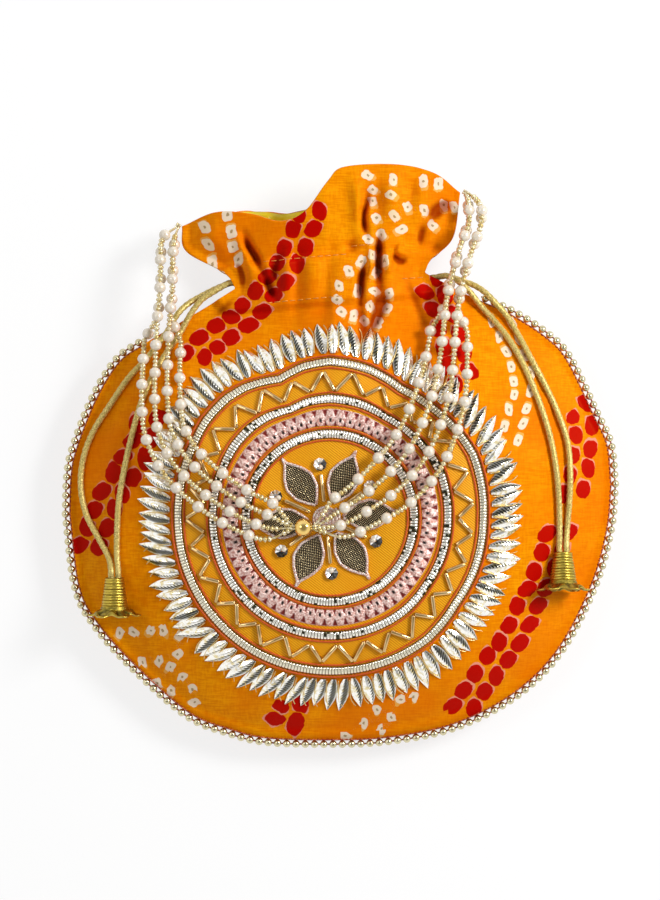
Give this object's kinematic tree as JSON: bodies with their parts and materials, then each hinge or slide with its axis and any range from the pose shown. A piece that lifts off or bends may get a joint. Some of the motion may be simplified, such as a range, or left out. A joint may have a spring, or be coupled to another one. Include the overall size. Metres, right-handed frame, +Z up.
{
  "type": "potli bag",
  "caption": "Round gathered drawstring bag lying on its back, with an embroidered round motif, a beaded handle, a beaded edge and belled cords.",
  "frame": {"origin": "on the floor, under the middle of the bag, which lies on its back panel", "axes": "+Z up out of the embroidered front, +Y from the bottom of the bag to its mouth, +X to the right as seen from the front"},
  "size_m": [0.2466, 0.2574, 0.0536],
  "materials": {
    "bandhani_satin": "saffron-orange satin with a tie-dyed dot print",
    "lining_satin": "yellow satin",
    "zari_cord": "twisted pale-gold metallic thread",
    "champagne_bead": "polished champagne gold",
    "antique_brass": "antique, ribbed",
    "pearl": "cream pearl lustre",
    "polished_gold": "mirror gold",
    "silver_gota": "pleated silver ribbon",
    "orange_dori": "twisted orange cord",
    "rose_sequin": "rose metallic",
    "mustard_tissue": "mustard metallic tissue",
    "dark_gold_mesh": "woven wire mesh",
    "mirror_sequin": "mirror, faceted cup",
    "clear_bead": "clear seed bead"
  },
  "bodies": {
    "root": {"back_lining": "lining_satin", "back_panel": "bandhani_satin", "bell_left": "antique_brass", "bell_left_knot": "zari_cord", "bell_right": "antique_brass", "bell_right_knot": "zari_cord", "bugle_zigzag": "polished_gold", "dori_inner_inside": "orange_dori", "dori_inner_outside": "orange_dori", "dori_middle_inside": "orange_dori", "dori_middle_outside": "orange_dori", "dori_outer_inside": "orange_dori", "dori_outer_outside": "orange_dori", "drawstring_left": "zari_cord", "drawstring_right": "zari_cord", "edge_bead_trim": "champagne_bead", "flower_coil": "silver_gota", "flower_petal_1": "dark_gold_mesh", "flower_petal_2": "dark_gold_mesh", "flower_petal_3": "dark_gold_mesh", "flower_petal_4": "dark_gold_mesh", "flower_petal_5": "dark_gold_mesh", "flower_petal_6": "dark_gold_mesh", "front_lining": "lining_satin", "front_panel": "bandhani_satin", "gota_ring_inner": "silver_gota", "gota_ring_middle": "silver_gota", "gota_ring_outer": "silver_gota", "handle_gold_bead": "polished_gold", "handle_strand_1": "pearl", "handle_strand_2": "pearl", "handle_strand_3": "pearl", "handle_strand_4": "pearl", "petal_fringe": "silver_gota", "sequin_ring": "rose_sequin", "spoke_bead_1": "clear_bead", "spoke_bead_2": "clear_bead", "spoke_bead_3": "clear_bead", "spoke_bead_4": "clear_bead", "spoke_bead_5": "clear_bead", "spoke_bead_6": "clear_bead", "spoke_bugle_1": "polished_gold", "spoke_bugle_2": "polished_gold", "spoke_bugle_3": "polished_gold", "spoke_bugle_4": "polished_gold", "spoke_bugle_5": "polished_gold", "spoke_bugle_6": "polished_gold", "spoke_sequin_1": "mirror_sequin", "spoke_sequin_2": "mirror_sequin", "spoke_sequin_3": "mirror_sequin", "spoke_sequin_4": "mirror_sequin", "spoke_sequin_5": "mirror_sequin", "spoke_sequin_6": "mirror_sequin", "tissue_disc": "mustard_tissue"}
  },
  "joints": []
}
